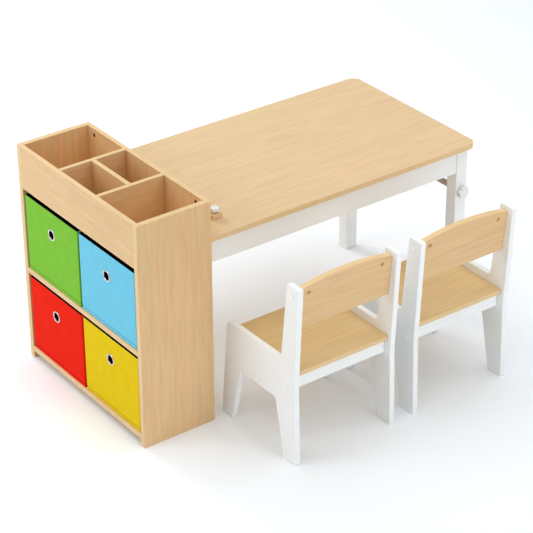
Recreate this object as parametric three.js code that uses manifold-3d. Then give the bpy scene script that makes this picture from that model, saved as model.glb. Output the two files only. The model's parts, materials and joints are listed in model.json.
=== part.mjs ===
// Kids art table with a storage cabinet at its left end, and two chairs.
//
// Millimetres, +Z up. X runs along the table from the cabinet to the open end, and Y runs from
// the children's side (-Y) to the far side. The origin is under the middle of the whole set.
//
// Everything is first placed in the station's own frame: x = 0 is the open front of the cabinet,
// y = 0 is the middle of the cabinet and the table, and z = 0 is the floor.

import * as THREE from 'three';
import { mergeVertices } from 'three/addons/utils/BufferGeometryUtils.js';
import Module from 'manifold-3d';

const wasm = await Module();
wasm.setup();

// ---------------------------------------------------------------- driving dimensions

const GAP = 0.3;                 // clearance kept between pieces that touch
const BOARD = 15;                // thickness of the shelves, sides, aprons and chair boards
const THIN_BOARD = 12;           // thickness of the tray walls, dividers and back panel

const STATION_LENGTH = 1050.5;    // cabinet front to the open end of the tabletop

const CABINET_DEPTH = 208;       // X
const CABINET_WIDTH = 530;       // Y
const CABINET_HEIGHT = 610;
const TOE_HEIGHT = 20;           // underside of the bottom shelf
const MIDDLE_SHELF_TOP = 269;
const TRAY_BOTTOM = 493;         // underside of the tray floor and lower edge of the fascia

const TOP_HEIGHT = 505;          // working surface
const TOP_THICKNESS = 14;
const TOP_WIDTH = 503;           // Y
const TOP_CORNER = 28;           // radius of the two free corners

const LEG = 36;                  // square section
const LEG_INSET_FRONT = 16.5;    // from the front edge of the top to the front leg
const LEG_INSET_REAR = 6;        // from the rear edge of the top to the rear leg
const LEG_INSET_END = 17;        // from the open end of the top to both legs
const LONG_APRON_BOTTOM = 425;
const END_APRON_BOTTOM = 428;
const APRON_JOINT = 1;           // open joint between the ends of the aprons and the legs

const ROD_RADIUS = 8;
const ROD_HEIGHT = 368.5;
const ROD_CLEARANCE = 0.4;       // between the rod and the holes in the legs
const ROD_KNOB_RADIUS = 17;
const ROD_KNOB_HEAD = 11;
const ROD_KNOB_HUB = 4;
const ROD_KNOB_HUB_RADIUS = 10;
const ROD_KNOB_STUD = 18;

const CLAMP_X = 281.5;           // centre line of the paper clamp bar
const CLAMP_WIDTH = 28;
const CLAMP_LENGTH = 392;
const CLAMP_HEIGHT = 12;
const CLAMP_END_RADIUS = 10;
const CLAMP_BOLT_INSET = 24;     // from the ends of the bar to its bolts
const CLAMP_KNOB_RADIUS = 13;
const CLAMP_KNOB_HEAD = 6.5;
const CLAMP_KNOB_HUB = 6.5;
const CLAMP_KNOB_HUB_RADIUS = 5.5;
const CLAMP_BOLT_HEAD_RADIUS = 8;
const CLAMP_BOLT_HEAD = 2.5;

const SCREW_RADIUS = 3;          // all bolts and studs are M6
const SCREW_HOLE = 3.4;

const BIN_DEPTH = 190;           // X
const BIN_WIDTH = 242;           // Y
const BIN_HEIGHT = 210;
const BIN_WALL = 3;
const BIN_CORNER = 5;
const BIN_FACE = 1.6;            // the bins stand this far inside the cabinet's front edge
const BIN_SPACING = 248.5;       // between the middles of two bins on one shelf
const GROMMET_HEIGHT = 147;      // above the bin's underside
const GROMMET_RADIUS = 15.8;
const GROMMET_HOLE = 12.5;
const GROMMET_FLANGE = 1.2;
const GROMMET_BARREL = 1.4;      // thickness of the tube between the two flanges

const CHAIR_WIDTH = 304.5;       // outside the two side panels
const CHAIR_SPACING = 363.6;     // between the middles of the chairs
const FIRST_CHAIR_X = 399.2;     // middle of the first chair
const CHAIR_REAR_Y = -541.5;     // heels of the rear feet
const CHAIR_HEIGHT = 488;
const CHAIR_LENGTH = 301;        // heels of the rear feet to the toes of the front feet
const REAR_FOOT_FRONT = 49;      // the side panel's corners, in Y from the heels
const FRONT_FOOT_REAR = 259;
const ARCH_HEIGHT = 155;         // underside of the panel between the legs
const ARCH_REAR = 80.5;
const ARCH_REAR_RADIUS = 12;
const ARCH_FRONT = 219.5;
const ARCH_FRONT_RADIUS = 8;
const ARM_HEIGHT = 274;
const ARM_FRONT = 275;
const ARM_FRONT_RADIUS = 18;
const ARM_REAR = 59;
const ARM_REAR_RADIUS = 12;
const UPRIGHT_LEAN = 9;          // how far the top of the uprights stands behind the heels
const UPRIGHT_FRONT = 35.5;      // front edge of the uprights at the top
const UPRIGHT_TOP_RADIUS = 5;
const UPRIGHT_BEND_Y = 6.5;      // where the rear edge bends from the leg to the upright
const UPRIGHT_BEND_Z = 215;
const UPRIGHT_BEND_RADIUS = 300;
const SEAT_HEIGHT = 252;
const SEAT_THICKNESS = 12;
const SEAT_REAR = 13;            // from the heels to the seat's rear edge
const SEAT_FRONT = 270;
const RAIL_BOTTOM = 198;
const RAIL_BOLT_HEIGHT = 206;
const REAR_RAIL_Y = 35.5;        // middle of the rear rail, from the heels
const FRONT_RAIL_Y = 257;
const BACKREST_ANGLE = THREE.MathUtils.degToRad(6.1);
const BACKREST_Y = 19.1;         // lower rear edge of the backrest, from the heels
const BACKREST_Z = 364;
const BACKREST_END = 112.5;       // height of its ends, along the slope
const BACKREST_RISE = 15.2;       // how far its arched top rises above the ends
const BACKREST_BOLT = 97;        // height of its bolts, along the slope
const BOLT_HEAD_RADIUS = 6.5;
const BOLT_HEAD = 1.6;
const BOLT_REACH = 30;           // how far the bolts go into the rails and the backrest
const NUT_RADIUS = 5;            // cross nuts behind the backrest
const NUT_INSET = 28.5;
const NUT_LENGTH = 11.5;

const ARC_STEP = THREE.MathUtils.degToRad(11);   // angle of one facet on a rounded corner

// ---------------------------------------------------------------- materials

const paint = (color, roughness, metalness = 0) =>
  new THREE.MeshStandardMaterial({ color, roughness, metalness });

const maple = () => paint(0xe0c090, 0.5);
const whitePaint = () => paint(0xf0f0ee, 0.4);
const whitePlastic = () => paint(0xf4f4f2, 0.35);
const dowelWood = () => paint(0xc9a878, 0.6);
const zincSteel = () => paint(0xb9bcc0, 0.35, 1);
const chromeSteel = () => paint(0xd5d8dc, 0.15, 1);
const whiteBoltHead = () => paint(0xe9e9e6, 0.3);
const BIN_COLOURS = { green: 0x8bc84a, blue: 0x74cdec, red: 0xf0301e, yellow: 0xe8cb24 };

// ---------------------------------------------------------------- geometry helpers

/** A manifold solid from a closed three.js geometry. */
function toSolid(geometry) {
  const bare = geometry.clone();
  bare.deleteAttribute('normal');
  bare.deleteAttribute('uv');
  const merged = mergeVertices(bare, 1e-4);
  return new wasm.Manifold(new wasm.Mesh({
    numProp: 3,
    vertProperties: Float32Array.from(merged.attributes.position.array),
    triVerts: Uint32Array.from(merged.index.array),
  }));
}

/** A three.js geometry from a manifold solid. */
function toGeometry(solid) {
  const mesh = solid.getMesh();
  const geometry = new THREE.BufferGeometry();
  geometry.setAttribute('position', new THREE.BufferAttribute(mesh.vertProperties, 3));
  geometry.setIndex(new THREE.BufferAttribute(mesh.triVerts, 1));
  geometry.computeVertexNormals();
  return geometry;
}

/** The geometry with each tool cut away. */
function cut(geometry, ...tools) {
  return toGeometry(tools.reduce((solid, tool) => solid.subtract(toSolid(tool)), toSolid(geometry)));
}

/** The geometries joined into one piece. */
function join(...geometries) {
  return toGeometry(geometries.map(toSolid).reduce((whole, solid) => whole.add(solid)));
}

/** A box between two opposite corners. */
function boxBetween([x0, y0, z0], [x1, y1, z1]) {
  const box = new THREE.BoxGeometry(x1 - x0, y1 - y0, z1 - z0);
  return box.translate((x0 + x1) / 2, (y0 + y1) / 2, (z0 + z1) / 2);
}

/** A cylinder along x, y or z, centred on a point. */
function rod(axis, radius, length, [x, y, z], sides = 16) {
  const cylinder = new THREE.CylinderGeometry(radius, radius, length, sides);
  if (axis === 'x') cylinder.rotateZ(Math.PI / 2);
  if (axis === 'z') cylinder.rotateX(Math.PI / 2);
  return cylinder.translate(x, y, z);
}

/** A closed outline through [x, y, radius] corners, each corner rounded to its radius. */
function roundedOutline(corners) {
  const points = [];
  corners.forEach(([x, y, radius], i) => {
    const corner = new THREE.Vector2(x, y);
    if (!radius) {
      points.push(corner);
      return;
    }
    const before = corners.at(i - 1);
    const after = corners[(i + 1) % corners.length];
    const toBefore = new THREE.Vector2(before[0] - x, before[1] - y).normalize();
    const toAfter = new THREE.Vector2(after[0] - x, after[1] - y).normalize();
    const halfAngle = Math.acos(toBefore.dot(toAfter)) / 2;
    const inward = toBefore.clone().add(toAfter).normalize();
    const centre = corner.clone().addScaledVector(inward, radius / Math.sin(halfAngle));
    const start = corner.clone().addScaledVector(toBefore, radius / Math.tan(halfAngle)).sub(centre);
    const sweep = Math.PI - 2 * halfAngle;
    const turn = Math.sign(toAfter.cross(toBefore));
    const steps = Math.max(2, Math.ceil(sweep / ARC_STEP));
    for (let step = 0; step <= steps; step += 1) {
      const angle = (turn * sweep * step) / steps;
      points.push(start.clone().rotateAround(new THREE.Vector2(), angle).add(centre));
    }
  });
  return new THREE.Shape(points);
}

/** A circular hole for an outline. */
function roundHole(x, y, radius) {
  return new THREE.Path().absarc(x, y, radius, 0, 2 * Math.PI, true);
}

/** A flat plate from an outline drawn in X and Y, standing up along Z. */
function plateUp(shape, thickness) {
  return new THREE.ExtrudeGeometry(shape, { depth: thickness, bevelEnabled: false, curveSegments: 6 });
}

/** A plate from an outline drawn in X and Z, going back along Y from y = 0. */
function plateBack(shape, thickness) {
  return plateUp(shape, thickness).rotateX(Math.PI / 2).translate(0, thickness, 0);
}

/** A plate from an outline drawn in Y and Z, going along X from x = 0. */
function plateAcross(shape, thickness) {
  return plateUp(shape, thickness).rotateX(Math.PI / 2).rotateZ(Math.PI / 2);
}

/** A hand knob along +Y: a lobed head on a round hub whose face is at y = 0. */
function knobBody(radius, head, hub, hubRadius) {
  const lobes = 6;
  const lobeDepth = 0.08;                                 // of the radius, above and below the mean
  const points = [];
  const steps = lobes * 8;
  for (let step = 0; step < steps; step += 1) {
    const angle = (2 * Math.PI * step) / steps;
    const reach = radius * (1 - lobeDepth + lobeDepth * Math.cos(lobes * angle));
    points.push(new THREE.Vector2(reach * Math.cos(angle), reach * Math.sin(angle)));
  }
  const overlap = 1;
  const lobedHead = plateBack(new THREE.Shape(points), head).translate(0, hub, 0);
  const hubLength = hub + overlap;
  return join(lobedHead, rod('y', hubRadius, hubLength, [0, hubLength / 2, 0], 24));
}

/** Adds a named mesh to a group. */
function addPiece(group, name, geometry, material) {
  const mesh = new THREE.Mesh(geometry, material);
  mesh.name = name;
  group.add(mesh);
  return mesh;
}

// ---------------------------------------------------------------- cabinet

const INSIDE_Y = CABINET_WIDTH / 2 - BOARD - GAP;        // half the clear width between the sides
const BACK_PANEL_X = CABINET_DEPTH - THIN_BOARD;         // bin side of the back panel

/** Side panels, back panel and shelves. */
function addCarcass(group) {
  for (const [name, side] of [['front', -1], ['rear', 1]]) {
    const outer = (side * CABINET_WIDTH) / 2;
    const inner = outer - side * BOARD;
    const panel = boxBetween(
      [0, Math.min(outer, inner), 0],
      [CABINET_DEPTH, Math.max(outer, inner), CABINET_HEIGHT],
    );
    addPiece(group, `cabinet_side_${name}`, panel, maple());
  }
  const backPanel = boxBetween(
    [BACK_PANEL_X, -INSIDE_Y, TOE_HEIGHT],
    [CABINET_DEPTH, INSIDE_Y, CABINET_HEIGHT],
  );
  addPiece(group, 'cabinet_back_panel', backPanel, maple());
  const shelves = { bottom_shelf: TOE_HEIGHT + BOARD, middle_shelf: MIDDLE_SHELF_TOP };
  for (const [name, top] of Object.entries(shelves)) {
    const shelf = boxBetween([0, -INSIDE_Y, top - BOARD], [BACK_PANEL_X - GAP, INSIDE_Y, top]);
    addPiece(group, name, shelf, maple());
  }
}

/** Open tray on top of the cabinet: fascia, floor and the dividers of its compartments. */
function addTray(group) {
  const rim = CABINET_HEIGHT;
  const insideX = [THIN_BOARD + GAP, BACK_PANEL_X - GAP];
  const floorTop = TRAY_BOTTOM + THIN_BOARD;
  const fascia = boxBetween([0, -INSIDE_Y, TRAY_BOTTOM], [THIN_BOARD, INSIDE_Y, rim]);
  addPiece(group, 'tray_fascia', fascia, maple());
  const floor = boxBetween([insideX[0], -INSIDE_Y, TRAY_BOTTOM], [insideX[1], INSIDE_Y, floorTop]);
  addPiece(group, 'tray_floor', floor, maple());

  const crossDividerY = INSIDE_Y / 3;                     // three compartments of equal length
  for (const [name, side] of [['front', -1], ['rear', 1]]) {
    const divider = boxBetween(
      [insideX[0], side * crossDividerY - THIN_BOARD / 2, floorTop + GAP],
      [insideX[1], side * crossDividerY + THIN_BOARD / 2, rim],
    );
    addPiece(group, `tray_divider_${name}`, divider, maple());
  }
  const middleX = (insideX[0] + insideX[1]) / 2;
  const reachY = crossDividerY - THIN_BOARD / 2 - GAP;
  const middleDivider = boxBetween(
    [middleX - THIN_BOARD / 2, -reachY, floorTop + GAP],
    [middleX + THIN_BOARD / 2, reachY, rim],
  );
  addPiece(group, 'tray_divider_middle', middleDivider, maple());
}

// ---------------------------------------------------------------- fabric bins

/** Open fabric bin, its lower front edge at the origin and its depth along +X. */
function binShell() {
  const half = BIN_WIDTH / 2;
  const outline = (inset, radius) => roundedOutline([
    [inset, -half + inset, radius],
    [BIN_DEPTH - inset, -half + inset, radius],
    [BIN_DEPTH - inset, half - inset, radius],
    [inset, half - inset, radius],
  ]);
  const outside = plateUp(outline(0, BIN_CORNER), BIN_HEIGHT);
  const inside = plateUp(outline(BIN_WALL, BIN_CORNER - BIN_WALL), BIN_HEIGHT).translate(0, 0, BIN_WALL);
  const wallHoleRadius = GROMMET_HOLE + GROMMET_BARREL + GAP;
  const wallHole = rod('x', wallHoleRadius, 4 * BIN_WALL, [0, 0, GROMMET_HEIGHT], 24);
  return cut(outside, inside, wallHole);
}

/** Pressed metal eyelet around the finger hole, its front flange on the outside of the wall. */
function grommetRing() {
  const front = -GAP;
  const back = BIN_WALL + GAP;
  const profile = [
    [GROMMET_HOLE, front - GROMMET_FLANGE],
    [GROMMET_RADIUS, front - GROMMET_FLANGE],
    [GROMMET_RADIUS, front],
    [GROMMET_HOLE + GROMMET_BARREL, front],
    [GROMMET_HOLE + GROMMET_BARREL, back],
    [GROMMET_RADIUS, back],
    [GROMMET_RADIUS, back + GROMMET_FLANGE],
    [GROMMET_HOLE, back + GROMMET_FLANGE],
    [GROMMET_HOLE, front - GROMMET_FLANGE],
  ].map(([radius, along]) => new THREE.Vector2(radius, along));
  return new THREE.LatheGeometry(profile, 24).rotateZ(-Math.PI / 2);
}

/** Four bins, two on each shelf. */
function addBins(group) {
  const shelfTops = [MIDDLE_SHELF_TOP, TOE_HEIGHT + BOARD];
  const rows = [['green', 'blue'], ['red', 'yellow']];
  rows.forEach((row, level) => row.forEach((colour, place) => {
    const bin = new THREE.Group();
    bin.position.set(BIN_FACE, (0.5 - place) * BIN_SPACING, shelfTops[level] + GAP);
    addPiece(bin, `bin_${colour}`, binShell(), paint(BIN_COLOURS[colour], 0.9));
    const grommet = addPiece(bin, `bin_${colour}_grommet`, grommetRing(), chromeSteel());
    grommet.position.z = GROMMET_HEIGHT;
    group.add(bin);
  }));
}

// ---------------------------------------------------------------- table

const TOP_UNDERSIDE = TOP_HEIGHT - TOP_THICKNESS;
const LEG_FRONT_Y = LEG_INSET_FRONT - TOP_WIDTH / 2;     // outer faces of the front leg and apron
const LEG_REAR_Y = TOP_WIDTH / 2 - LEG_INSET_REAR;       // outer faces of the rear leg and apron
const LEG_OUTER_X = STATION_LENGTH - LEG_INSET_END;
const LEG_X = LEG_OUTER_X - LEG / 2;
const CLAMP_BOLT_Y = CLAMP_LENGTH / 2 - CLAMP_BOLT_INSET;

/** Tabletop with its two free corners rounded and holes for the clamp bolts. */
function addTabletop(group) {
  const left = CABINET_DEPTH + GAP;
  const half = TOP_WIDTH / 2;
  const outline = roundedOutline([
    [left, -half, 0],
    [STATION_LENGTH, -half, TOP_CORNER],
    [STATION_LENGTH, half, TOP_CORNER],
    [left, half, 0],
  ]);
  for (const side of [-1, 1]) {
    outline.holes.push(roundHole(CLAMP_X, side * CLAMP_BOLT_Y, SCREW_HOLE));
  }
  const top = plateUp(outline, TOP_THICKNESS).translate(0, 0, TOP_UNDERSIDE);
  addPiece(group, 'tabletop', top, maple());
}

/** Two long aprons from the cabinet to the legs, and a short one between the legs. */
function addAprons(group) {
  const top = TOP_UNDERSIDE - GAP;
  const from = CABINET_DEPTH + GAP;
  const to = LEG_OUTER_X - LEG - APRON_JOINT;
  const longApron = (outer, inner) => boxBetween(
    [from, Math.min(outer, inner), LONG_APRON_BOTTOM],
    [to, Math.max(outer, inner), top],
  );
  addPiece(group, 'front_apron', longApron(LEG_FRONT_Y, LEG_FRONT_Y + BOARD), whitePaint());
  addPiece(group, 'rear_apron', longApron(LEG_REAR_Y, LEG_REAR_Y - BOARD), whitePaint());
  const endApron = boxBetween(
    [LEG_OUTER_X - BOARD, LEG_FRONT_Y + LEG + APRON_JOINT, END_APRON_BOTTOM],
    [LEG_OUTER_X, LEG_REAR_Y - LEG - APRON_JOINT, top],
  );
  addPiece(group, 'end_apron', endApron, whitePaint());
}

/** Two square legs at the open end, each drilled through for the paper rod. */
function addLegs(group) {
  for (const [name, outer, inner] of [
    ['front', LEG_FRONT_Y, LEG_FRONT_Y + LEG],
    ['rear', LEG_REAR_Y, LEG_REAR_Y - LEG],
  ]) {
    const post = boxBetween(
      [LEG_OUTER_X - LEG, Math.min(outer, inner), 0],
      [LEG_OUTER_X, Math.max(outer, inner), TOP_UNDERSIDE - GAP],
    );
    const hole = rod('y', ROD_RADIUS + ROD_CLEARANCE, 2 * LEG, [LEG_X, (outer + inner) / 2, ROD_HEIGHT], 24);
    addPiece(group, `${name}_leg`, cut(post, hole), whitePaint());
  }
}

/** Rod for the paper roll, held in the legs by a screwed-in knob at each end. */
function addPaperRod(group) {
  const middleY = (LEG_FRONT_Y + LEG_REAR_Y) / 2;
  const half = (LEG_REAR_Y - LEG_FRONT_Y) / 2 - GAP;
  const studHole = ROD_KNOB_STUD + 4;
  const endHole = (side) => rod('y', SCREW_HOLE, studHole, [0, side * (half - studHole / 2 + 1), 0], 12);
  const dowel = cut(rod('y', ROD_RADIUS, 2 * half, [0, 0, 0], 24), endHole(-1), endHole(1));
  addPiece(group, 'paper_rod', dowel, dowelWood()).position.set(LEG_X, middleY, ROD_HEIGHT);

  const stud = rod('y', SCREW_RADIUS, ROD_KNOB_STUD + 2, [0, 1 - ROD_KNOB_STUD / 2, 0], 12);
  const body = knobBody(ROD_KNOB_RADIUS, ROD_KNOB_HEAD, ROD_KNOB_HUB, ROD_KNOB_HUB_RADIUS);
  const knob = join(body, stud);
  const front = addPiece(group, 'rod_knob_front', knob, whitePlastic());
  front.position.set(LEG_X, LEG_FRONT_Y - GAP, ROD_HEIGHT);
  front.rotation.z = Math.PI;
  const rear = addPiece(group, 'rod_knob_rear', knob.clone(), whitePlastic());
  rear.position.set(LEG_X, LEG_REAR_Y + GAP, ROD_HEIGHT);
}

/** Bar that holds the paper down, its two bolts through the tabletop, and their knobs. */
function addPaperClamp(group) {
  const barBottom = TOP_HEIGHT + GAP;
  const barTop = barBottom + CLAMP_HEIGHT;
  const halfX = CLAMP_WIDTH / 2;
  const halfY = CLAMP_LENGTH / 2;
  const outline = roundedOutline([
    [CLAMP_X - halfX, -halfY, CLAMP_END_RADIUS],
    [CLAMP_X + halfX, -halfY, CLAMP_END_RADIUS],
    [CLAMP_X + halfX, halfY, CLAMP_END_RADIUS],
    [CLAMP_X - halfX, halfY, CLAMP_END_RADIUS],
  ]);
  for (const side of [-1, 1]) {
    outline.holes.push(roundHole(CLAMP_X, side * CLAMP_BOLT_Y, SCREW_HOLE));
  }
  addPiece(group, 'clamp_bar', plateUp(outline, CLAMP_HEIGHT).translate(0, 0, barBottom), maple());

  const knobBottom = barTop + GAP;
  const threadDepth = CLAMP_KNOB_HUB + CLAMP_KNOB_HEAD - 2;
  const thread = rod('y', SCREW_HOLE, threadDepth + 1, [0, (threadDepth - 1) / 2, 0], 12);
  const body = knobBody(CLAMP_KNOB_RADIUS, CLAMP_KNOB_HEAD, CLAMP_KNOB_HUB, CLAMP_KNOB_HUB_RADIUS);
  const knob = cut(body, thread);
  knob.rotateX(Math.PI / 2);

  const headTop = TOP_UNDERSIDE - GAP;
  const boltTop = knobBottom + threadDepth - 1;
  const shankBottom = headTop - 1;
  const shank = rod('z', SCREW_RADIUS, boltTop - shankBottom, [0, 0, (boltTop + shankBottom) / 2], 12);
  const head = rod('z', CLAMP_BOLT_HEAD_RADIUS, CLAMP_BOLT_HEAD, [0, 0, headTop - CLAMP_BOLT_HEAD / 2], 20);
  const bolt = join(shank, head);
  for (const [name, side] of [['front', -1], ['rear', 1]]) {
    const y = side * CLAMP_BOLT_Y;
    addPiece(group, `clamp_knob_${name}`, knob.clone(), whitePlastic()).position.set(CLAMP_X, y, knobBottom);
    addPiece(group, `clamp_bolt_${name}`, bolt.clone(), zincSteel()).position.set(CLAMP_X, y, 0);
  }
}

// ---------------------------------------------------------------- chairs

const PANEL_INNER_X = CHAIR_WIDTH / 2 - BOARD;           // half the clear width between the panels
const REACH_X = PANEL_INNER_X - GAP;                     // half the length of seat, backrest and rails

/** Where the backrest's bolts pass, as [y, z] in the chair's frame. */
function backrestBoltPlace() {
  const across = BOARD / 2;
  const up = BACKREST_BOLT;
  return [
    BACKREST_Y + across * Math.cos(BACKREST_ANGLE) - up * Math.sin(BACKREST_ANGLE),
    BACKREST_Z + across * Math.sin(BACKREST_ANGLE) + up * Math.cos(BACKREST_ANGLE),
  ];
}

const CHAIR_BOLTS = {
  back: backrestBoltPlace(),
  rear: [REAR_RAIL_Y, RAIL_BOLT_HEIGHT],
  front: [FRONT_RAIL_Y, RAIL_BOLT_HEIGHT],
};

/** One-piece side panel: upright, low arm, splayed front leg and rear leg. */
function chairSidePanel() {
  const footRound = 2;
  const outline = roundedOutline([
    [0, 0, footRound],
    [REAR_FOOT_FRONT, 0, footRound],
    [ARCH_REAR, ARCH_HEIGHT, ARCH_REAR_RADIUS],
    [ARCH_FRONT, ARCH_HEIGHT, ARCH_FRONT_RADIUS],
    [FRONT_FOOT_REAR, 0, footRound],
    [CHAIR_LENGTH, 0, footRound],
    [ARM_FRONT, ARM_HEIGHT, ARM_FRONT_RADIUS],
    [ARM_REAR, ARM_HEIGHT, ARM_REAR_RADIUS],
    [UPRIGHT_FRONT, CHAIR_HEIGHT, UPRIGHT_TOP_RADIUS],
    [-UPRIGHT_LEAN, CHAIR_HEIGHT, UPRIGHT_TOP_RADIUS],
    [UPRIGHT_BEND_Y, UPRIGHT_BEND_Z, UPRIGHT_BEND_RADIUS],
  ]);
  for (const [y, z] of Object.values(CHAIR_BOLTS)) {
    outline.holes.push(roundHole(y, z, SCREW_HOLE));
  }
  return plateAcross(outline, BOARD);
}

/** Seat board with rounded rear corners. */
function chairSeat() {
  const outline = roundedOutline([
    [-REACH_X, SEAT_REAR, 7],
    [REACH_X, SEAT_REAR, 7],
    [REACH_X, SEAT_FRONT, 3],
    [-REACH_X, SEAT_FRONT, 3],
  ]);
  return plateUp(outline, SEAT_THICKNESS).translate(0, 0, SEAT_HEIGHT - SEAT_THICKNESS);
}

/** Rail under the seat, with a bolt hole in each end. */
function chairRail(middleY) {
  const top = SEAT_HEIGHT - SEAT_THICKNESS - GAP;
  const rail = boxBetween(
    [-REACH_X, middleY - BOARD / 2, RAIL_BOTTOM],
    [REACH_X, middleY + BOARD / 2, top],
  );
  return cut(rail, ...boltHoles(middleY, RAIL_BOLT_HEIGHT));
}

/** Cutters for the bolt holes in both ends of a rail or the backrest. */
function boltHoles(y, z) {
  const depth = BOLT_REACH + 3;
  return [-1, 1].map((side) => rod('x', SCREW_HOLE, depth, [side * (REACH_X - depth / 2 + 1), y, z], 12));
}

/** Backrest in its own sloping frame: rear face at y = 0, lower edge at z = 0, arched top. */
function chairBackrest() {
  const cornerRadius = 7;
  const arch = roundedOutline([
    [-REACH_X, 0, 3],
    [REACH_X, 0, 3],
    [REACH_X, BACKREST_END, cornerRadius],
    ...archPoints(REACH_X, BACKREST_END, BACKREST_RISE),
    [-REACH_X, BACKREST_END, cornerRadius],
  ]);
  const nutHoles = [-1, 1].map((side) =>
    rod('y', NUT_RADIUS + GAP, 2 * (NUT_LENGTH + 1), [side * (REACH_X - NUT_INSET), 0, BACKREST_BOLT], 16));
  return cut(plateBack(arch, BOARD), ...boltHoles(BOARD / 2, BACKREST_BOLT), ...nutHoles);
}

/** Points of a circular arch over a span, from right to left, without its two ends. */
function archPoints(halfSpan, base, rise) {
  const radius = (halfSpan ** 2 + rise ** 2) / (2 * rise);
  const steps = 22;
  const points = [];
  for (let step = 1; step < steps; step += 1) {
    const x = halfSpan * (1 - (2 * step) / steps);
    points.push([x, base + Math.sqrt(radius ** 2 - x ** 2) - (radius - rise), 0]);
  }
  return points;
}

/** Cross nut along +Y with the thread across it, its outer end just inside the rear face. */
function crossNut() {
  const body = rod('y', NUT_RADIUS, NUT_LENGTH, [0, NUT_LENGTH / 2 + 0.5, 0], 16);
  return cut(body, rod('x', SCREW_HOLE, 4 * NUT_RADIUS, [0, BOARD / 2, 0], 12));
}

/** Flat-headed bolt pointing along +X, the underside of its head at x = 0. */
function chairBolt() {
  const length = GAP + BOARD + GAP + BOLT_REACH;
  const shank = rod('x', SCREW_RADIUS, length + 1, [(length - 1) / 2, 0, 0], 12);
  return join(rod('x', BOLT_HEAD_RADIUS, BOLT_HEAD, [-BOLT_HEAD / 2, 0, 0], 20), shank);
}

/** One chair, the heels of its rear feet at y = 0, facing +Y. */
function makeChair(name) {
  const chair = new THREE.Group();
  for (const [side, sign] of [['left', -1], ['right', 1]]) {
    const panel = addPiece(chair, `${name}_side_${side}`, chairSidePanel(), whitePaint());
    panel.position.x = sign < 0 ? -CHAIR_WIDTH / 2 : PANEL_INNER_X;
    for (const [place, [y, z]] of Object.entries(CHAIR_BOLTS)) {
      const bolt = addPiece(chair, `${name}_bolt_${place}_${side}`, chairBolt(), whiteBoltHead());
      bolt.position.set(sign * (CHAIR_WIDTH / 2 + GAP), y, z);
      if (sign > 0) bolt.rotation.z = Math.PI;
    }
  }
  addPiece(chair, `${name}_seat`, chairSeat(), maple());
  addPiece(chair, `${name}_rail_rear`, chairRail(REAR_RAIL_Y), whitePaint());
  addPiece(chair, `${name}_rail_front`, chairRail(FRONT_RAIL_Y), whitePaint());

  const slope = new THREE.Group();
  slope.position.set(0, BACKREST_Y, BACKREST_Z);
  slope.rotation.x = BACKREST_ANGLE;
  addPiece(slope, `${name}_backrest`, chairBackrest(), maple());
  for (const [side, sign] of [['left', -1], ['right', 1]]) {
    const nut = addPiece(slope, `${name}_nut_${side}`, crossNut(), zincSteel());
    nut.position.set(sign * (REACH_X - NUT_INSET), 0, BACKREST_BOLT);
  }
  chair.add(slope);
  return chair;
}

// ---------------------------------------------------------------- the whole set

const station = new THREE.Group();
addCarcass(station);
addTray(station);
addBins(station);
addTabletop(station);
addAprons(station);
addLegs(station);
addPaperRod(station);
addPaperClamp(station);
for (const number of [1, 2]) {
  const chair = makeChair(`chair_${number}`);
  chair.position.set(FIRST_CHAIR_X + (number - 1) * CHAIR_SPACING, CHAIR_REAR_Y, 0);
  station.add(chair);
}

// The origin goes on the floor under the middle of the set's bounding box.
const extent = new THREE.Box3().setFromObject(station);
const middle = extent.getCenter(new THREE.Vector3());
station.position.set(-middle.x, -middle.y, 0);

const artTableSet = new THREE.Group();
artTableSet.add(station);

export default artTableSet;
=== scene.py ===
"""Kids art table with a storage cabinet, fabric bins and two chairs: the looks around the frame.

Everything is in metres, in the frame's own coordinates: X along the table from the cabinet to
the open end, Y from the chairs' side to the far side, Z up. Sizes and places come from the
frame's nodes. A board is rebuilt from the outline of its node, with rounded edges, an edge band
and wood grain along its own length.
"""

import json
import math
import random

import bpy
import numpy as np
from mathutils import Matrix, Vector
from mathutils.geometry import tessellate_polygon

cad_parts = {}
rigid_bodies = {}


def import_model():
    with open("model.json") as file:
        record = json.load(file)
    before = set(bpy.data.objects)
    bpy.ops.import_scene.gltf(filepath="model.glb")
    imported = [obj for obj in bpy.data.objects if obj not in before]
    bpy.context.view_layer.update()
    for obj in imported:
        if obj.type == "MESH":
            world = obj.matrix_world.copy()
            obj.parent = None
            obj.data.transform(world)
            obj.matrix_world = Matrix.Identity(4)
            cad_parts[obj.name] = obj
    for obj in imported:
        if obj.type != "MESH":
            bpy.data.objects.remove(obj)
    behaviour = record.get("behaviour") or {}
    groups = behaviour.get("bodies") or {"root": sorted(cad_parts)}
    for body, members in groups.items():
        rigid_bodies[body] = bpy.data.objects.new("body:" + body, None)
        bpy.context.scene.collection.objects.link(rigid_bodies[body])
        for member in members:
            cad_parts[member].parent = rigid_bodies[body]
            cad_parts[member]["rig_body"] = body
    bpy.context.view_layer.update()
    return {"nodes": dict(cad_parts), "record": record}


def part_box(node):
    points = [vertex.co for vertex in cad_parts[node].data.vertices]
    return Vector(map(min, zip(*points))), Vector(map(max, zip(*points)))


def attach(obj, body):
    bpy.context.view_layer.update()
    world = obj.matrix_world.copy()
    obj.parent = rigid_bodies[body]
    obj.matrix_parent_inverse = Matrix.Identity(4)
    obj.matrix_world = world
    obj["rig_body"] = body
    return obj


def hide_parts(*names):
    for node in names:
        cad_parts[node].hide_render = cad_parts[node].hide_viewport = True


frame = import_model()

MM = 0.001
X, Y, Z = (1, 0, 0), (0, 1, 0), (0, 0, 1)
COLOURS = ("green", "blue", "red", "yellow")

# ------------ sizes

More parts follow.
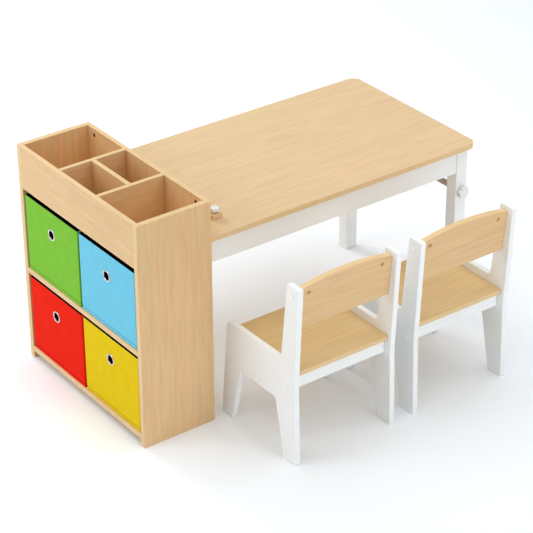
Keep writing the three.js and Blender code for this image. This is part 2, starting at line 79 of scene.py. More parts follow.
CABINET_EDGE = 0.7 * MM          # rounding of the boards' edges
TABLETOP_EDGE = 1.0 * MM
PAINTED_EDGE = 1.6 * MM
CHAIR_EDGE = 1.7 * MM
SEAT_EDGE = 1.5 * MM
CORNER_SHARE = 1.3               # rounding of an outline's corners, as a share of the edges'
EDGE_STEPS = 3                   # facets across a rounded edge
SHARP_TURN = math.radians(25)    # an outline turning more than this at one point is a corner
NUT_HOLE_DEPTH = 12.5 * MM
LARGEST_SHIFT = 9                # m, so that no two boards show the same stretch of wood

COVER_RADIUS = 6.0 * MM          # covers over the screws in the cabinet's sides
COVER_THICKNESS = 0.3 * MM
COVER_FROM_EDGES = 35.5 * MM     # screws into a shelf, from the side's front and rear edges
COVER_BELOW_TOP = 51 * MM        # screws into the fascia and the back panel

FITTING_RADIUS = 5.0 * MM        # dark fittings inside the tray
FITTING_FROM_END = 29 * MM
FITTING_BELOW_TOP = 17 * MM

KNOB_LOBES = 6
KNOB_HUB_HEIGHT = 4 * MM
KNOB_DISH = 0.4 * MM             # how far the middle of a knob's top lies below its rim
SCALLOP = 0.24                   # depth of the hollows between lobes, as a share of the radius

WALL = 2.6 * MM                  # fabric bins: two layers of fabric over card
BIN_CORNER = 2.2 * MM
BIN_SPACING = 4 * MM             # between neighbouring points of a bin's mesh
SLACK = 0.5 * MM                 # how far the bin's walls start inside its box
HEM = 8 * MM                     # seam above the bin's lower edge
RIM = 1.2 * MM                   # height of the fold round the bin's mouth
SIDE_SEAM = 4.5 * MM             # seams beside the bin's upright edges
STITCH = 2.6 * MM
STITCH_GAP = 1.5 * MM
STITCH_THICKNESS = 0.34 * MM
STITCH_RISE = 0.22 * MM

EYELET = 4.5 * MM                # width of the grommet's flange
EYELET_LIP = 1.3 * MM
BOLT_HEAD = 1.6 * MM             # height of a chair bolt's head

CAMERA_PLACE = (-2.7291, -3.6126, 2.8693)
CAMERA_AZIMUTH = math.radians(36.381)    # of the line of sight, from +Y towards +X
CAMERA_ELEVATION = math.radians(29.862)
CAMERA_ROLL = math.radians(-0.281)
CAMERA_LENS = 139.86             # mm, on a sensor 36 mm wide
CAMERA_SENSOR = 36
CAMERA_REACH = 200               # m, past the floor's far edge
FLOOR_REACH = 60                 # m, each way from the middle
FLOOR_DROP = 0.2 * MM            # keeps the floor clear of the feet

SIDE_LIGHT = 0.06                # the sky's light: all round, overhead, from the cabinet's side
TOP_LIGHT = 1.34
LEFT_LIGHT = 0.20
CAMERA_GAMMA = 0.90              # a little more contrast, as in a catalogue picture
SKY_COLOUR = (0.955, 0.98, 0.99, 1.0)


# ------------ materials

class Nodes:
    """Short calls for building one material's node tree."""

    def __init__(self, name):
        self.material = bpy.data.materials.new(name)
        self.material.use_nodes = True
        self.tree = self.material.node_tree
        self.tree.nodes.clear()
        self.shader = self.tree.nodes.new("ShaderNodeBsdfPrincipled")
        output = self.tree.nodes.new("ShaderNodeOutputMaterial")
        self.link(self.shader.outputs["BSDF"], output.inputs["Surface"])

    def link(self, source, target):
        """Links one node's output to another's input."""
        self.tree.links.new(source, target)

    def feed(self, socket, value):
        """Gives an input a constant, or links another node's output to it."""
        if isinstance(value, bpy.types.NodeSocket):
            self.link(value, socket)
        else:
            socket.default_value = value

    def add(self, kind, inputs=None, **settings):
        """A node with its settings and its inputs, each a value or another node's output."""
        made = self.tree.nodes.new(kind)
        for key, value in settings.items():
            setattr(made, key, value)
        for key, value in (inputs or {}).items():
            self.feed(made.inputs[key], value)
        return made

    def set(self, **values):
        """Constants on the shader's own sockets."""
        for key, value in values.items():
            self.shader.inputs[key.replace("_", " ")].default_value = value

    def colour(self, value):
        """Links a colour to the shader."""
        self.link(value, self.shader.inputs["Base Color"])

    def roughness(self, value):
        """Links a roughness to the shader."""
        self.link(value, self.shader.inputs["Roughness"])

    def coordinates(self, name):
        """The piece's own pattern coordinates, in metres."""
        return self.add("ShaderNodeAttribute", attribute_name=name).outputs["Vector"]

    def place(self):
        """The point's place in the object, in metres."""
        return self.add("ShaderNodeTexCoord").outputs["Object"]

    def wear(self):
        """How worn the piece is there: 1 along rounded edges, 0 on faces."""
        return self.add("ShaderNodeAttribute", attribute_name="wear").outputs["Fac"]

    def noise(self, vector, fineness, detail=2.0, roughness=0.5):
        """Noise, its fineness in cells per metre: one number, or one for each axis."""
        scale = fineness if isinstance(fineness, tuple) else (fineness,) * 3
        stretched = self.add("ShaderNodeMapping", {"Vector": vector, "Scale": scale})
        made = self.add("ShaderNodeTexNoise", {
            "Vector": stretched.outputs["Vector"],
            "Scale": 1.0,
            "Detail": detail,
            "Roughness": roughness,
        })
        return made.outputs["Fac"]

    def span(self, value, low, high, to_low=0.0, to_high=1.0):
        """The value's range from low to high, mapped onto another range and clamped."""
        made = self.add("ShaderNodeMapRange", {
            "Value": value, "From Min": low, "From Max": high, "To Min": to_low, "To Max": to_high,
        })
        return made.outputs["Result"]

    def math(self, operation, a, b=0.0):
        """The result of a sum on one or two values."""
        return self.add("ShaderNodeMath", {0: a, 1: b}, operation=operation).outputs[0]

    def blend(self, factor, a, b):
        """Two colours mixed. A Mix node has its colours' sockets at 6, 7 and, coming out, 2."""
        made = self.add("ShaderNodeMix", data_type="RGBA")
        for index, value in ((0, factor), (6, a), (7, b)):
            self.feed(made.inputs[index], value)
        return made.outputs[2]

    def bump(self, height, strength, distance):
        """Relief on the shader's normals, its depth in metres."""
        made = self.add("ShaderNodeBump", {
            "Height": height, "Strength": strength, "Distance": distance,
        })
        self.link(made.outputs["Normal"], self.shader.inputs["Normal"])


def linear(red, green, blue):
    """A display colour, 0 to 255, as scene-linear RGBA."""
    def one(value):
        """One channel."""
        value /= 255
        return value / 12.92 if value <= 0.04045 else ((value + 0.055) / 1.055) ** 2.4
    return (one(red), one(green), one(blue), 1.0)


def toned(colour, red, green, blue):
    """The colour with each channel scaled."""
    return (red * colour[0], green * colour[1], blue * colour[2], 1.0)


def wood_material(name, rosy, sandy, contrast=1.0, roughness=0.46):
    """Maple-grain laminate: bands of two tints, nested growth rings, streaks and short pores.

    The pattern runs along its first axis, so each noise is far finer across the other two."""
    n = Nodes(name)
    place = n.coordinates("grain")
    drift = n.noise(place, (2.2, 7.0, 7.0))
    shift = n.add("ShaderNodeCombineXYZ", {"Y": n.math("MULTIPLY", drift, 14 * MM)})
    wandering = n.add("ShaderNodeVectorMath", {0: place, 1: shift.outputs[0]}, operation="ADD")
    moved = wandering.outputs[0]
    tint = n.noise(moved, (3.0, 34.0, 34.0))
    light = n.noise(moved, (7.0, 90.0, 90.0), 3.0, 0.6)
    swell = n.noise(moved, (1.3, 11.0, 11.0), 1.0, 0.4)
    rings = n.math("SINE", n.math("MULTIPLY", swell, 95.0))
    streaks = n.noise(moved, (9.0, 330.0, 330.0), 3.0, 0.6)
    pores = n.noise(moved, (48.0, 1000.0, 1000.0))

    deep = toned(rosy, 0.80, 0.73, 0.66)
    bands = n.span(light, 0.35, 0.68, 0.0, 0.34)
    shade = n.math("ADD", bands, n.span(rings, 0.1, 1.0, 0.0, 0.11))
    shade = n.math("ADD", shade, n.span(streaks, 0.42, 0.72, 0.0, 0.28))
    pore = n.span(pores, 0.64, 0.78, 0.0, 0.42 * contrast)
    scuff = n.span(n.noise(place, 60.0, 3.0), 0.45, 0.7, 0.0, 0.35)
    colour = n.blend(n.span(tint, 0.38, 0.64), rosy, sandy)
    colour = n.blend(n.math("MULTIPLY", shade, contrast), colour, deep)
    colour = n.blend(pore, colour, toned(deep, 0.8, 0.8, 0.8))
    colour = n.blend(n.math("MULTIPLY", n.wear(), scuff), colour, toned(rosy, 1.1, 1.1, 1.1))
    n.colour(colour)
    n.roughness(n.span(streaks, 0.3, 0.7, roughness - 0.05, roughness + 0.08))
    n.set(Specular_IOR_Level=0.35)
    n.bump(n.math("SUBTRACT", streaks, n.math("MULTIPLY", pore, 1.5)), 0.12, 0.4 * MM)
    return n.material


def edge_band_material(name, rosy, sandy):
    """Thin matching edge band: finer and more even than the faces."""
    return wood_material(name, rosy, sandy, 0.55, 0.5)


def white_paint_material():
    """Sprayed satin paint: faint orange peel, slightly dulled along the edges."""
    n = Nodes("white_paint")
    place = n.coordinates("grain")
    patch = n.noise(place, 7.0, 3.0)
    base = n.blend(n.span(patch, 0.35, 0.7), linear(251, 252, 252), linear(247, 248, 247))
    rub = n.span(n.noise(place, 90.0, 3.0), 0.5, 0.75, 0.0, 0.5)
    n.colour(n.blend(n.math("MULTIPLY", n.wear(), rub), base, linear(226, 225, 221)))
    peel = n.noise(place, 420.0)
    brush = n.noise(place, (12.0, 160.0, 160.0))
    n.roughness(n.span(patch, 0.3, 0.7, 0.33, 0.43))
    n.set(Specular_IOR_Level=0.45)
    n.bump(n.math("ADD", peel, n.math("MULTIPLY", brush, 0.6)), 0.07, 0.4 * MM)
    return n.material


def plastic_material(name, pale, dark, roughness, coat):
    """Moulded white plastic or enamel with a fine satin texture."""
    n = Nodes(name)
    place = n.place()
    patch = n.noise(place, 60.0)
    n.colour(n.blend(n.span(patch, 0.3, 0.7), pale, dark))
    n.roughness(n.span(patch, 0.3, 0.7, roughness, roughness + 0.1))
    n.set(Coat_Weight=coat, Subsurface_Weight=0.05)
    n.bump(n.noise(place, 1500.0), 0.08, 0.2 * MM)
    return n.material


def metal_material(name, colour, dark, roughness, brushed):
    """Plated steel, with turning marks or a soft satin: brushed is how fine the marks are."""
    n = Nodes(name)
    place = n.place()
    marks = n.noise(place, (brushed, brushed, 4 * brushed), 3.0, 0.6)
    stain = n.noise(place, 110.0, 3.0)
    n.colour(n.blend(n.span(stain, 0.4, 0.75), colour + (1.0,), dark + (1.0,)))
    n.roughness(n.span(marks, 0.3, 0.7, roughness - 0.05, roughness + 0.1))
    n.set(Metallic=1.0)
    n.bump(marks, 0.1, 0.2 * MM)
    return n.material


def fabric_material(name, colour, shade):
    """Non-woven bin fabric: pressed with a fine grid of dots, slightly mottled and fuzzy, with painted
    shade along the hem's stitched groove.

    The pattern's second axis is the height above the bin's lower edge, where the hem is."""
    n = Nodes(name)
    place = n.coordinates("weave")
    dots = n.add("ShaderNodeTexVoronoi", {"Vector": place, "Scale": 640.0, "Randomness": 0.12},
                 voronoi_dimensions="2D").outputs["Distance"]
    fibres = n.noise(place, 1500.0, 4.0, 0.7)
    lengthways = n.noise(place, (260.0, 34.0, 40.0), 3.0, 0.6)
    mottle = n.noise(place, 32.0, 3.0, 0.55)
    pressed = n.span(dots, 0.10, 0.42, 1.0, 0.0)
    blotches = n.span(mottle, 0.32, 0.7, 0.0, 0.38)
    tone = n.math("ADD", blotches, n.span(fibres, 0.3, 0.75, 0.0, 0.22))
    tone = n.math("ADD", tone, n.math("MULTIPLY", pressed, 0.20))
    tone = n.math("ADD", tone, n.span(lengthways, 0.35, 0.7, 0.0, 0.16))
    height_up = n.add("ShaderNodeSeparateXYZ", {"Vector": place}).outputs["Y"]
    # painted shade: a band along the hem is darkened, standing in for the shadow in the stitched groove
    from_hem = n.math("ABSOLUTE", n.math("SUBTRACT", height_up, HEM))
    hem_groove_shade = n.span(from_hem, 0.0, 2.2 * MM, 0.55, 0.0)
    cloth = n.blend(tone, colour, shade)
    n.colour(n.blend(hem_groove_shade, cloth, toned(shade, 0.45, 0.45, 0.45)))
    n.roughness(n.span(mottle, 0.3, 0.7, 0.84, 0.95))
    n.set(Sheen_Weight=0.03, Sheen_Roughness=0.5, Specular_IOR_Level=0.08)
    relief = n.math("SUBTRACT", n.math("MULTIPLY", fibres, 0.4), n.math("MULTIPLY", pressed, 0.6))
    n.bump(relief, 0.30, 0.3 * MM)
    return n.material


def floor_material():
    """Pale matt floor, lifted a little so that its shadows stay soft."""
    n = Nodes("studio_floor")
    n.set(Base_Color=(0.93, 0.95, 0.98, 1.0), Roughness=0.75, Specular_IOR_Level=0.1,
          Emission_Color=(0.95, 0.98, 1.0, 1.0), Emission_Strength=0.03)
    return n.material


def thread_material(colour):
    """Sewing thread in a bin's colour, darker in its own folds."""
    shade = FABRICS[colour][1]
    return fabric_material(f"thread_{colour}", shade, toned(shade, 0.55, 0.55, 0.55))


FABRICS = {
    "green": (linear(141, 203, 74), linear(129, 191, 64)),
    "blue": (linear(130, 210, 234), linear(119, 200, 227)),
    "red": (linear(246, 44, 18), linear(232, 35, 13)),
    "yellow": (linear(238, 209, 30), linear(226, 194, 20)),
}

maple = wood_material("maple", linear(236, 199, 154), linear(232, 201, 152), 0.92)
table_maple = wood_material("table_maple", linear(236, 206, 168), linear(232, 208, 165), 0.92)
seat_maple = wood_material("seat_maple", linear(231, 199, 149), linear(227, 200, 148), 0.92)
maple_edge = edge_band_material("maple_edge", linear(239, 208, 163), linear(233, 205, 157))
dowel_wood = wood_material("dowel_wood", linear(194, 186, 170), linear(186, 179, 163), 1.0, 0.58)
screw_cover = edge_band_material("screw_cover", linear(230, 206, 155), linear(223, 202, 149))
white_paint = white_paint_material()
knob_white = plastic_material("white_plastic", linear(246, 246, 245), linear(236, 236, 234), 0.24, 0.15)
bolt_white = plastic_material("bolt_head_white", linear(255, 255, 251), linear(253, 252, 246), 0.5, 0.0)
nut_bronze = metal_material("cross_nut", (0.62, 0.38, 0.17), (0.44, 0.26, 0.11), 0.45, 300.0)
tray_fitting = metal_material("tray_fitting", (0.16, 0.12, 0.09), (0.10, 0.075, 0.06), 0.5, 200.0)
zinc = metal_material("zinc_steel", (0.62, 0.62, 0.61), (0.48, 0.48, 0.47), 0.36, 300.0)
eyelet_metal = metal_material("grommet_metal", (0.74, 0.68, 0.69), (0.64, 0.58, 0.59), 0.24, 120.0)
fabrics = {colour: fabric_material(f"fabric_{colour}", *FABRICS[colour]) for colour in COLOURS}
threads = {colour: thread_material(colour) for colour in COLOURS}
lining = fabric_material("bin_lining", linear(30, 31, 33), linear(20, 21, 23))

LAMINATE = [maple, maple_edge]              # a board's faces and its edges
TABLE_LAMINATE = [table_maple, maple_edge]
SEAT_LAMINATE = [seat_maple, maple_edge]
PAINTED = [white_paint, white_paint]


# ------------ mesh helpers

class Surface:
    """Points and faces being gathered for one piece."""

    def __init__(self):
        self.points = []
        self.wear = []
        self.faces = []
        self.slots = []

    def ring(self, points, wear=0.0):
        """Adds points, and says which numbers they got."""
        start = len(self.points)
        self.points.extend(Vector(p) for p in points)
        self.wear.extend([wear] * (len(self.points) - start))
        return list(range(start, len(self.points)))

    def face(self, corners, slot=0):
        """Adds one face, in one of the piece's materials."""
        self.faces.append(tuple(corners))
        self.slots.append(slot)

    def bridge(self, lower, upper, slot=0):
        """Quads between two closed rings of equal length."""
        count = len(lower)
        for i in range(count):
            j = (i + 1) % count
            self.face((lower[i], lower[j], upper[j], upper[i]), slot)

    def fan(self, ring, centre, slot=0, flip=False):
        """Triangles from a closed ring to one point."""
        middle = self.ring([centre])[0]
        for i, a in enumerate(ring):
            b = ring[(i + 1) % len(ring)]
            self.face((b, a, middle) if flip else (a, b, middle), slot)

    def build(self, name, materials, attributes=None):
        """The finished object, smooth, with large faces kept flat by weighted normals."""
        mesh = bpy.data.meshes.new(name)
        mesh.from_pydata([tuple(p) for p in self.points], [], self.faces)
        for material in materials:
            mesh.materials.append(material)
        for polygon, slot in zip(mesh.polygons, self.slots):
            polygon.material_index = slot
            polygon.use_smooth = True
        wear = mesh.attributes.new("wear", "FLOAT", "POINT")
        wear.data.foreach_set("value", self.wear)
        for key, vectors in (attributes or {}).items():
            store = mesh.attributes.new(key, "FLOAT_VECTOR", "POINT")
            store.data.foreach_set("vector", [c for v in vectors for c in v])
        mesh.validate()
        mesh.update()
        made = bpy.data.objects.new(name, mesh)
        bpy.context.scene.collection.objects.link(made)
        normals = made.modifiers.new("flat_faces", "WEIGHTED_NORMAL")
        normals.weight = 50
        normals.keep_sharp = True
        return made


def lathe(surface, profile, centre, axis, sides=48, outline=None):
    """Rings of a turned shape: profile is (radius, height) pairs, from one end to the other.

    outline, if given, scales the radius at an angle and a step of the profile, for lobes."""
    axis = Vector(axis)
    first = axis.orthogonal().normalized()
    second = axis.cross(first)
    rings = []
    for step, (radius, height) in enumerate(profile):
        points = []
        for side in range(sides):
            angle = math.tau * side / sides
            reach = radius * (outline(angle, step) if outline else 1.0)
            arm = first * math.cos(angle) + second * math.sin(angle)
            points.append(Vector(centre) + axis * height + arm * reach)
        rings.append(surface.ring(points))
    for lower, upper in zip(rings, rings[1:]):
        surface.bridge(lower, upper)
    return rings


def rounded(profile, radius, steps=3):
    """The profile with each inner corner rounded."""
    points = [Vector(p) for p in profile]
    result = [points[0]]
    for before, corner, after in zip(points, points[1:], points[2:]):
        a = before - corner
        b = after - corner
        reach = min(radius, 0.45 * a.length, 0.45 * b.length)
        start = corner + a.normalized() * reach
        end = corner + b.normalized() * reach
        for step in range(steps + 1):
            t = step / steps
            result.append(start * (1 - t) ** 2 + corner * 2 * t * (1 - t) + end * t ** 2)
    result.append(points[-1])
    return [tuple(p) for p in result]


def body_with(node):
    """The frame's body that a node belongs to."""
    return frame["nodes"][node]["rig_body"]


def slot_of(node):
    """The record's material slot for a node."""
    return next(part["material_slot"] for part in frame["record"]["subparts"] if part["node"] == node)


def stand_for(piece, node):
    """The piece replaces the node: it takes its body and its name, and the node is hidden. The node's
    slot is looked up but not given to the piece.
    """
    piece.name = node + "_part"
    piece.data.name = piece.name
    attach(piece, body_with(node))
    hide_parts(node)
    slot_of(node)


# ------------ boards from the frame

def flat_outline(node):
    """A board's face with the most holes: its normal, its loops, and those of the face opposite."""
    mesh = frame["nodes"][node].data
    mesh.calc_loop_triangles()
    keys, places, owner = {}, [], []
    for vertex in mesh.vertices:
        key = tuple(round(c, 6) for c in vertex.co)
        if key not in keys:
            keys[key] = len(places)
            places.append(vertex.co.copy())
        owner.append(keys[key])
    triangles = [tuple(owner[i] for i in triangle.vertices) for triangle in mesh.loop_triangles]

    def across(triangle):
        """A vector square to the triangle, twice as long as its area."""
        a, b, c = (places[i] for i in triangle)
        return (b - a).cross(c - a)

    def coplanar(largest):
        """The border loops of all triangles in one triangle's plane and facing its way."""
        normal = across(largest).normalized()
        level = places[largest[0]].dot(normal)
        flush = [t for t in triangles if across(t).dot(normal) > 0
                 and all(abs(places[i].dot(normal) - level) < 0.03 * MM for i in t)]
        return loops_of(flush, places)

    by_area = sorted(triangles, key=lambda triangle: -across(triangle).length)
    front = by_area[0]
    normal = across(front).normalized()
    back = next(t for t in by_area if across(t).normalized().dot(normal) < -0.999)
    front_loops, back_loops = coplanar(front), coplanar(back)
    if len(back_loops) > len(front_loops):
        return -normal, back_loops, front_loops
    return normal, front_loops, back_loops


def loops_of(triangles, places):
    """The closed border loops of some triangles, longest first."""
    edges = {(t[i], t[(i + 1) % 3]) for t in triangles for i in range(3)}
    border = {a: b for a, b in edges if (b, a) not in edges}
    loops = []
    while border:
        start, follow = border.popitem()
        loop = [start]
        while follow != start:
            loop.append(follow)
            follow = border.pop(follow)
        loops.append([places[i] for i in loop])

    def length(loop):
        """The way round a loop."""
        return sum((a - b).length for a, b in zip(loop, loop[1:] + loop[:1]))

    return sorted(loops, key=length, reverse=True)


def soften(loop, radius):
    """The outline with each sharp corner rounded."""
    result = []
    for i, corner in enumerate(loop):
        a = loop[i - 1] - corner
        b = loop[(i + 1) % len(loop)] - corner
        turn = math.pi - a.angle(b)
        if turn < SHARP_TURN:
            result.append(corner)
            continue
        reach = radius * math.tan(turn / 2)
        start = corner + a.normalized() * reach
        end = corner + b.normalized() * reach
        inward = (a.normalized() + b.normalized()).normalized()
        centre = corner + inward * math.hypot(radius, reach)
        spoke = start - centre
        sweep = spoke.angle_signed(end - centre)
        for step in range(EDGE_STEPS + 1):
            spin = Matrix.Rotation(-sweep * step / EDGE_STEPS, 2)
            result.append(centre + spin @ spoke)
    return result


def inset(loop, distance):
    """The outline moved sideways into the board."""
    result = []
    for i, point in enumerate(loop):
        before = (point - loop[i - 1]).normalized()
        after = (loop[(i + 1) % len(loop)] - point).normalized()
        left_before = Vector((-before.y, before.x))
        left_after = Vector((-after.y, after.x))
        mitre = (left_before + left_after) / (1 + left_before.dot(left_after))
        result.append(point + mitre * distance)
    return result


class Board:
    """A flat node being rebuilt: its plane, the direction of its grain, and its new surface."""

    def __init__(self, node, grain, edge):
        self.normal, self.front_loops, self.back_loops = flat_outline(node)
        grain = Vector(grain)
        self.along = (grain - self.normal * grain.dot(self.normal)).normalized()
        self.across = self.normal.cross(self.along)
        self.origin = self.front_loops[0][0]
        self.thickness = abs((self.back_loops[0][0] - self.origin).dot(self.normal))
        self.edge = edge
        self.surface = Surface()

    def flattened(self, loop):
        """A loop in the board's plane, without the points in the middle of its straight edges."""
        flat = [Vector(((p - self.origin).dot(self.along), (p - self.origin).dot(self.across)))
                for p in loop]
        kept = []
        for i, point in enumerate(flat):
            a = point - flat[i - 1]
            b = flat[(i + 1) % len(flat)] - point
            if a.length > 0.001 * MM and abs(a.angle_signed(b)) > math.radians(0.5):
                kept.append(point)
        return kept

    def lifted(self, loop, depth):
        """A flat loop's points in space, at a depth below the front face."""
        return [self.origin + self.along * p.x + self.across * p.y - self.normal * depth
                for p in loop]

    def pattern(self, point):
        """A point's coordinates along the grain, across it and through the board."""
        away = point - self.origin
        return Vector((away.dot(self.along), away.dot(self.across), away.dot(self.normal)))

    def edge_rings(self, loop, face_depth, inward):
        """Rings over a rounded edge, from a face to the wall: inward is 1 in front, -1 behind."""
        rings = []
        for step in range(EDGE_STEPS + 1):
            angle = math.pi / 2 * step / EDGE_STEPS
            depth = face_depth + inward * self.edge * (1 - math.sin(angle))
            border = inset(loop, self.edge * (1 - math.cos(angle)))
            worn = 1.0 if 0 < step < EDGE_STEPS else 0.0
            rings.append(self.surface.ring(self.lifted(border, depth), worn))
        return rings[::-1]

    def goes_through(self, loop):
        """Whether a hole of the front face comes out behind, where the back has one too."""
        middle = sum(p.x for p in loop) / len(loop)
        behind = [sum((p - self.origin).dot(self.along) for p in other) / len(other)
                  for other in self.back_loops[1:]]
        return any(abs(middle - other) < MM for other in behind)

    def add_walls(self, raw, outer):
        """Rounded walls along one loop, and the floor of a blind hole.

        Returns what bounds the front face there, and the back one, or None for a blind hole:
        a ring and its flat outline each."""
        loop = self.flattened(raw)
        if outer:
            loop = soften(loop, CORNER_SHARE * self.edge)
        front = self.edge_rings(loop, 0.0, 1)
        back = None
        if outer or self.goes_through(loop):
            back = self.edge_rings(loop, self.thickness, -1)
            walls = front + back[::-1]
        else:
            walls = front + [self.surface.ring(self.lifted(loop, NUT_HOLE_DEPTH))]
        for upper, lower in zip(walls, walls[1:]):
            self.surface.bridge(lower, upper, 1)
        border = inset(loop, self.edge)
        if back:
            return (front[0], border), (back[0], border)
        deepest = walls[-1]
        middle = sum((self.surface.points[i] for i in deepest), Vector()) / len(deepest)
        self.surface.fan(deepest, middle, 1)
        return (front[0], border), None

    def add_face(self, bounds, facing):
        """One large face between its outline and its holes: facing is 1 for the front, -1 behind."""
        order = [i for ring, _ in bounds for i in ring]
        flat = [[Vector((p.x, p.y, 0)) for p in border] for _, border in bounds]
        for triangle in tessellate_polygon(flat):
            corners = [order[i] for i in triangle]
            a, b, c = (self.surface.points[i] for i in corners)
            if (b - a).cross(c - a).dot(self.normal) * facing < 0:
                corners.reverse()
            self.surface.face(corners)


def board(node, grain, materials, edge):
    """A rounded copy of a flat node, with the grain along one direction, in the node's place."""
    made = Board(node, grain, edge)
    bounds = [made.add_walls(loop, loop is made.front_loops[0]) for loop in made.front_loops]
    made.add_face([front for front, _ in bounds], 1)
    made.add_face([back for _, back in bounds if back], -1)
    shift = Vector([random.uniform(0, LARGEST_SHIFT) for _ in range(3)])
    grain_places = [made.pattern(p) + shift for p in made.surface.points]
    stand_for(made.surface.build(node, materials, {"grain": grain_places}), node)


# ------------ cabinet and table

def add_cabinet():
    """Every board of the cabinet, each with the grain along its length."""
    grains = {
        "cabinet_side_front": Z, "cabinet_side_rear": Z, "cabinet_back_panel": Z,
        "bottom_shelf": Y, "middle_shelf": Y,
        "tray_fascia": Y, "tray_floor": Y,
        "tray_divider_front": X, "tray_divider_rear": X, "tray_divider_middle": Y,
    }
    for node, grain in grains.items():
        board(node, grain, LAMINATE, CABINET_EDGE)


def disc(name, place, outward, radius, material):
    """A thin round cover with an eased rim, lying on one of the cabinet's faces."""
    surface = Surface()
    crown = 1.1 * COVER_THICKNESS
    profile = rounded([(radius, 0), (radius, COVER_THICKNESS), (0.2 * radius, crown)], 0.25 * MM)
    rings = lathe(surface, profile, place, outward, 32)
    surface.fan(rings[-1], Vector(place) + Vector(outward) * crown)
    start = random.uniform(0, LARGEST_SHIFT)
    grain_places = [Vector((p.z + start, p.x, p.y)) for p in surface.points]
    return surface.build(name, [material], {"grain": grain_places})


def add_screw_covers():
    """Round covers over the screws that hold the boards between the cabinet's two sides."""
    for side, outward in (("front", -1), ("rear", 1)):
        low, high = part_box(f"cabinet_side_{side}")
        face = low.y if outward < 0 else high.y
        places = []
        for shelf in ("bottom_shelf", "middle_shelf", "tray_floor"):
            shelf_low, shelf_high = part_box(shelf)
            height = (shelf_low.z + shelf_high.z) / 2
            places += [(low.x + COVER_FROM_EDGES, height), (high.x - COVER_FROM_EDGES, height)]
        for upright in ("tray_fascia", "cabinet_back_panel"):
            upright_low, upright_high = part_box(upright)
            places.append(((upright_low.x + upright_high.x) / 2, high.z - COVER_BELOW_TOP))
        for number, (x, z) in enumerate(places, 1):
            name = f"screw_cover_{side}_{number}"
            cover = disc(name, (x, face, z), (0, outward, 0), COVER_RADIUS, screw_cover)
            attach(cover, "station")


def add_tray_fittings():
    """Dark fittings high in the tray's back wall, one near each end."""
    low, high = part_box("cabinet_back_panel")
    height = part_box("cabinet_side_front")[1].z - FITTING_BELOW_TOP
    for number, y in enumerate((low.y + FITTING_FROM_END, high.y - FITTING_FROM_END), 1):
        name = f"tray_fitting_{number}"
        fitting = disc(name, (low.x, y, height), (-1, 0, 0), FITTING_RADIUS, tray_fitting)
        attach(fitting, "station")


def add_table():
    """Tabletop, aprons and the two legs at its open end."""
    board("tabletop", X, TABLE_LAMINATE, TABLETOP_EDGE)
    board("front_apron", X, PAINTED, PAINTED_EDGE)
    board("rear_apron", X, PAINTED, PAINTED_EDGE)
    board("end_apron", Y, PAINTED, PAINTED_EDGE)
    for name in ("front_leg", "rear_leg"):
        board(name, Z, PAINTED, PAINTED_EDGE)


def add_bevelled(node, material, width):
    """Keeps a small node's own shape, with its edges rounded and a finer material."""
    piece = frame["nodes"][node]
    piece.data.materials.clear()
    piece.data.materials.append(material)
    rounding = piece.modifiers.new("rounding", "BEVEL")
    rounding.width = width
    rounding.segments = 2
    rounding.limit_method = "ANGLE"
    rounding.angle_limit = math.radians(40)


def knob(node, axis, height, hub_share):
    """Lobed hand knob, height above its seat: hub, undercut, soft lobes and a dished top.

    hub_share is the hub's radius as a share of the head's."""
    low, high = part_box(node)
    axis = Vector(axis)
    centre = (low + high) / 2
    radius = max(high[i] - low[i] for i in range(3) if abs(axis[i]) < 0.5) / 2
    top = max(corner.dot(axis) for corner in (low, high))
    base = centre - axis * centre.dot(axis) + axis * (top - height)
    head = height - KNOB_HUB_HEIGHT
    profile = rounded([
        (0.25 * radius, 0.0),
        (hub_share * radius, 0.0),
        (hub_share * radius, KNOB_HUB_HEIGHT),
        (0.98 * radius, KNOB_HUB_HEIGHT),
        (1.0 * radius, KNOB_HUB_HEIGHT + 0.45 * head),
        (0.93 * radius, height),
        (0.55 * radius, height),
        (0.50 * radius, height - 2 * KNOB_DISH),
        (0.06 * radius, height - KNOB_DISH),
    ], 1.6 * MM, 4)

    def lobe(angle, step):
        """The share of the radius left by the hollows, which fade towards the axis."""
        radius_here = profile[step][0] / radius
        depth = SCALLOP * min(1.0, max(0.0, (radius_here - 0.6) / 0.25))
        return 1 - depth * (1 - abs(math.cos(KNOB_LOBES * angle / 2))) ** 1.5

    surface = Surface()
    rings = lathe(surface, profile, base, axis, 96, lobe)
    surface.fan(rings[-1], base + axis * (height - KNOB_DISH))
    surface.fan(rings[0], base, flip=True)
    stand_for(surface.build(node, [knob_white]), node)


def add_paper_rod():
    """Dowel with eased ends, and the knobs outside the legs."""
    low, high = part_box("paper_rod")
    radius = (high.x - low.x) / 2
    length = high.y - low.y
    ease = 1.2 * MM
    stretches = 24
    profile = [(0.4 * radius, 0), (radius - ease, 0)]
    profile += [(radius, ease + (length - 2 * ease) * i / stretches) for i in range(stretches + 1)]
    profile += [(radius - ease, length), (0.4 * radius, length)]
    start = Vector(((low.x + high.x) / 2, low.y, (low.z + high.z) / 2))
    surface = Surface()
    rings = lathe(surface, profile, start, Y, 40)
    surface.fan(rings[-1], start + Vector((0, length, 0)))
    surface.fan(rings[0], start, flip=True)
    grain_places = [Vector((p.y, p.x, p.z)) for p in surface.points]
    stand_for(surface.build("paper_rod", [dowel_wood], {"grain": grain_places}), "paper_rod")
    front_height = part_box("front_leg")[0].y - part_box("rod_knob_front")[0].y
    rear_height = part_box("rod_knob_rear")[1].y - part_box("rear_leg")[1].y
    knob("rod_knob_front", (0, -1, 0), front_height, hub_share=0.58)
    knob("rod_knob_rear", (0, 1, 0), rear_height, hub_share=0.58)


def add_paper_clamp():
    """The bar that holds the paper down, with a knob on each of its two bolts."""
    board("clamp_bar", Y, LAMINATE, TABLETOP_EDGE)
    for side in ("front", "rear"):
        low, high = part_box(f"clamp_knob_{side}")
        knob(f"clamp_knob_{side}", Z, high.z - low.z, hub_share=0.42)
        add_bevelled(f"clamp_bolt_{side}", zinc, 0.3 * MM)


# ------------ fabric bins

